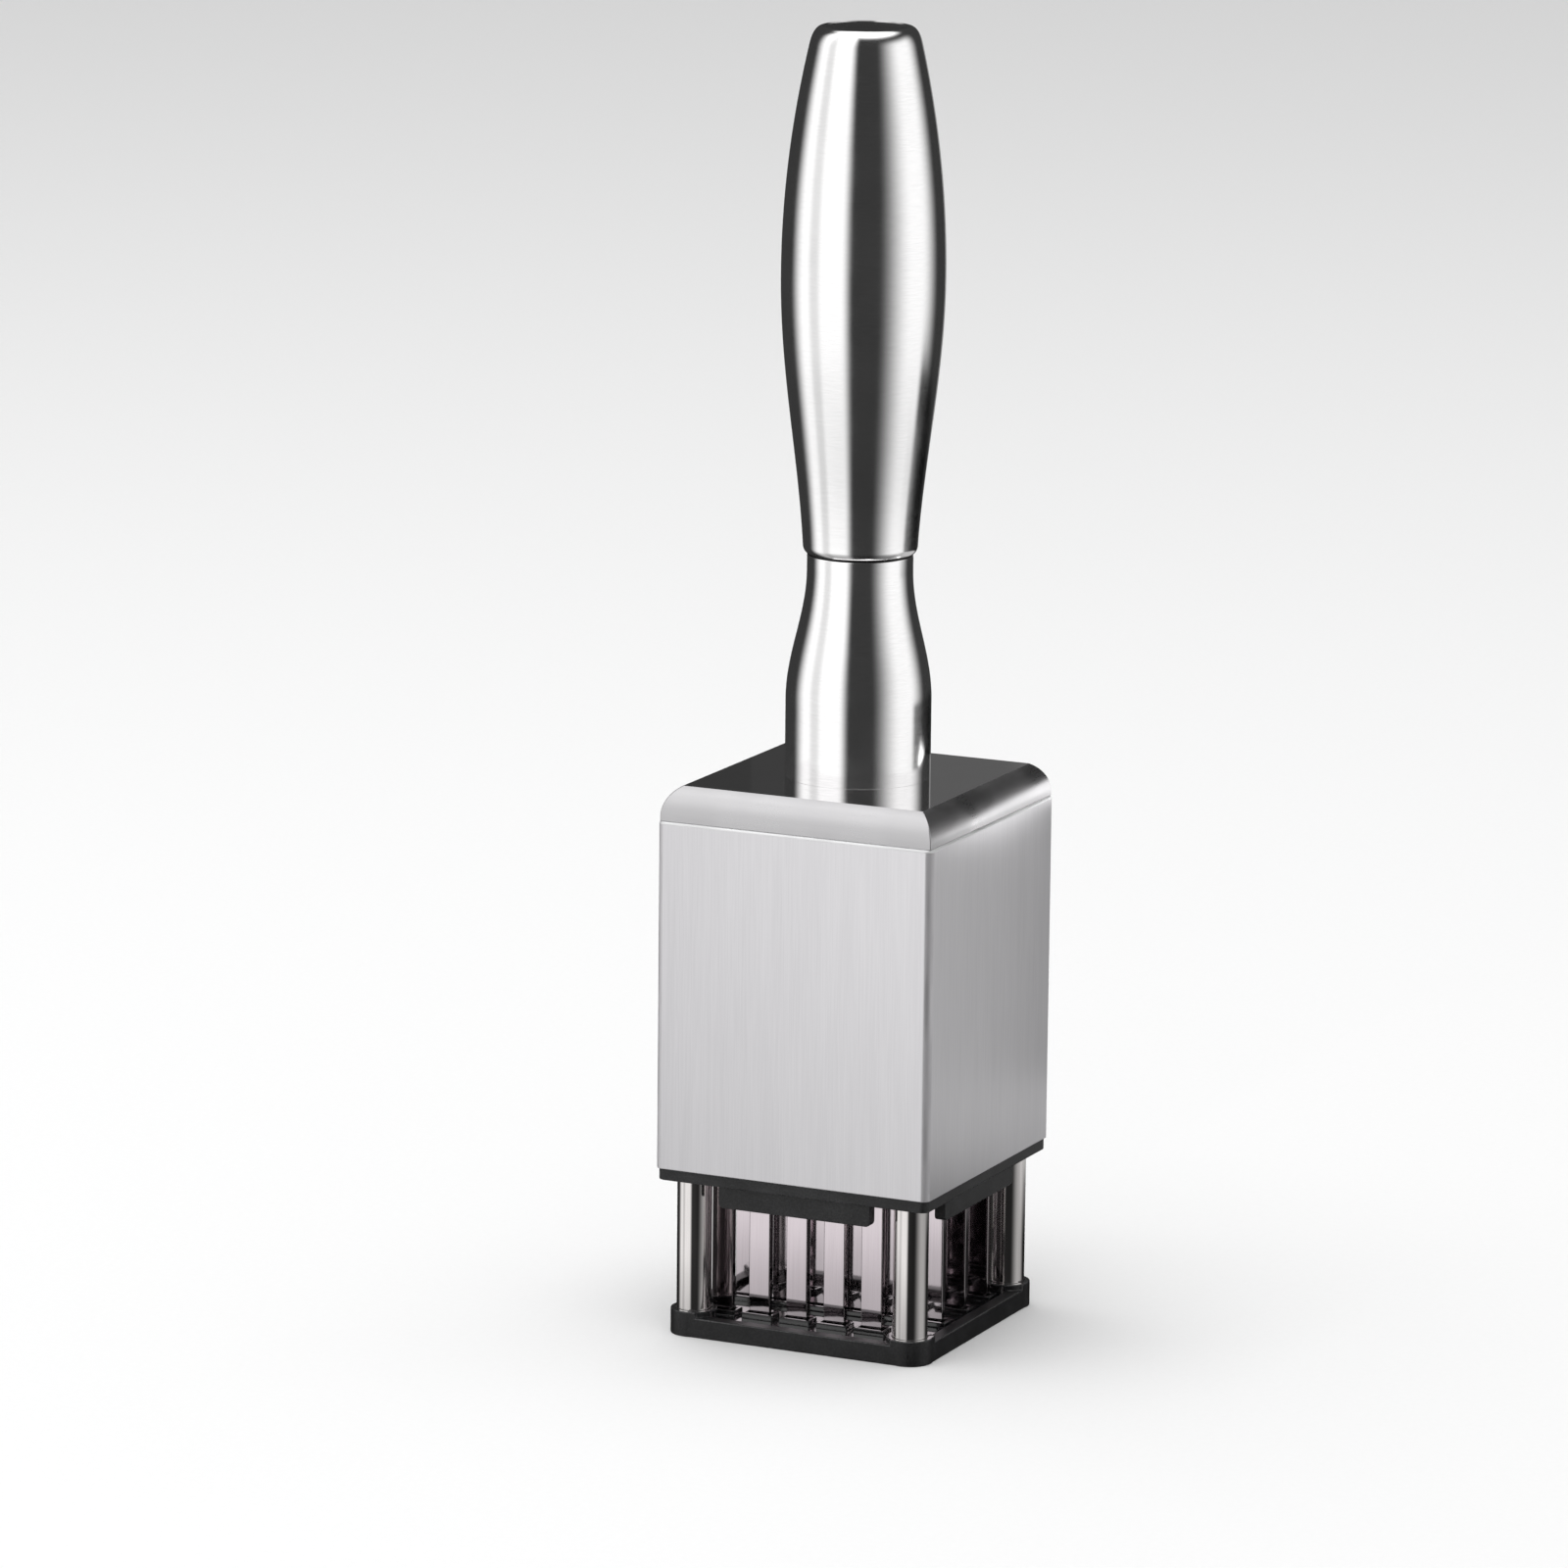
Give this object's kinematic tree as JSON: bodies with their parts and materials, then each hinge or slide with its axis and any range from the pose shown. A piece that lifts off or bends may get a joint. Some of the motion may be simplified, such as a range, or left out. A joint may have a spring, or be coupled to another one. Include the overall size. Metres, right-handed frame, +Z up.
{
  "type": "meat tenderizer",
  "caption": "Press-down meat tenderizer: square steel head with flat blades that slide through a sprung foot plate on corner posts, under a bottle-shaped handle.",
  "frame": {"origin": "middle of the foot plate's underside, where the tool stands", "axes": "+Z up along the handle, -Y towards the front row of blades, rows of blades along X"},
  "size_m": [0.051, 0.051, 0.2234],
  "materials": {
    "black_moulding": "fine moulded texture, black",
    "holder_plastic": "moulded, dark grey",
    "fasteners": "plain turned steel",
    "brushed_casing": "fine upright brushing",
    "polished_cap": "polished stainless steel",
    "handle_steel": "polished, with a faint lengthwise grain",
    "handle_end": "satin turned disc",
    "polished_post": "polished tube",
    "spring_wire": "drawn spring wire",
    "blade_steel": "ground and polished flat strip"
  },
  "bodies": {
    "foot": {"foot_plate": "black_moulding", "post_screws": "fasteners", "post_front_left": "polished_post", "post_front_right": "polished_post", "post_back_right": "polished_post", "post_back_left": "polished_post", "stop_collar_front_left": "fasteners", "stop_collar_front_right": "fasteners", "stop_collar_back_right": "fasteners", "stop_collar_back_left": "fasteners", "spring_front_left": "spring_wire", "spring_front_right": "spring_wire", "spring_back_right": "spring_wire", "spring_back_left": "spring_wire"},
    "head": {"cartridge_frame": "black_moulding", "blade_holder": "holder_plastic", "clamp_plate": "holder_plastic", "clamp_screws": "fasteners", "lock_nut": "fasteners", "handle_stud": "fasteners", "casing": "brushed_casing", "top_cap": "polished_cap", "handle_neck": "handle_steel", "neck_plug": "fasteners", "handle_grip": "handle_steel", "end_disc": "handle_end", "guide_rod_front_left": "fasteners", "guide_rod_front_right": "fasteners", "guide_rod_back_right": "fasteners", "guide_rod_back_left": "fasteners", "blade_1_1": "blade_steel", "blade_1_2": "blade_steel", "blade_1_3": "blade_steel", "blade_1_4": "blade_steel", "blade_1_5": "blade_steel", "blade_1_6": "blade_steel", "blade_2_1": "blade_steel", "blade_2_2": "blade_steel", "blade_2_3": "blade_steel", "blade_2_4": "blade_steel", "blade_2_5": "blade_steel", "blade_2_6": "blade_steel", "blade_3_1": "blade_steel", "blade_3_2": "blade_steel", "blade_3_3": "blade_steel", "blade_3_4": "blade_steel", "blade_3_5": "blade_steel", "blade_3_6": "blade_steel", "blade_4_1": "blade_steel", "blade_4_2": "blade_steel", "blade_4_3": "blade_steel", "blade_4_4": "blade_steel", "blade_4_5": "blade_steel", "blade_4_6": "blade_steel"}
  },
  "joints": [
    {"name": "press", "type": "slide", "parent": "foot", "child": "head", "axis": [0, 0, -1], "range_m": [0, 0.0198], "stiffness_N_per_m": 1550, "springref_m": -0.01, "deforming": ["spring_front_left", "spring_front_right", "spring_back_right", "spring_back_left"]}
  ]
}
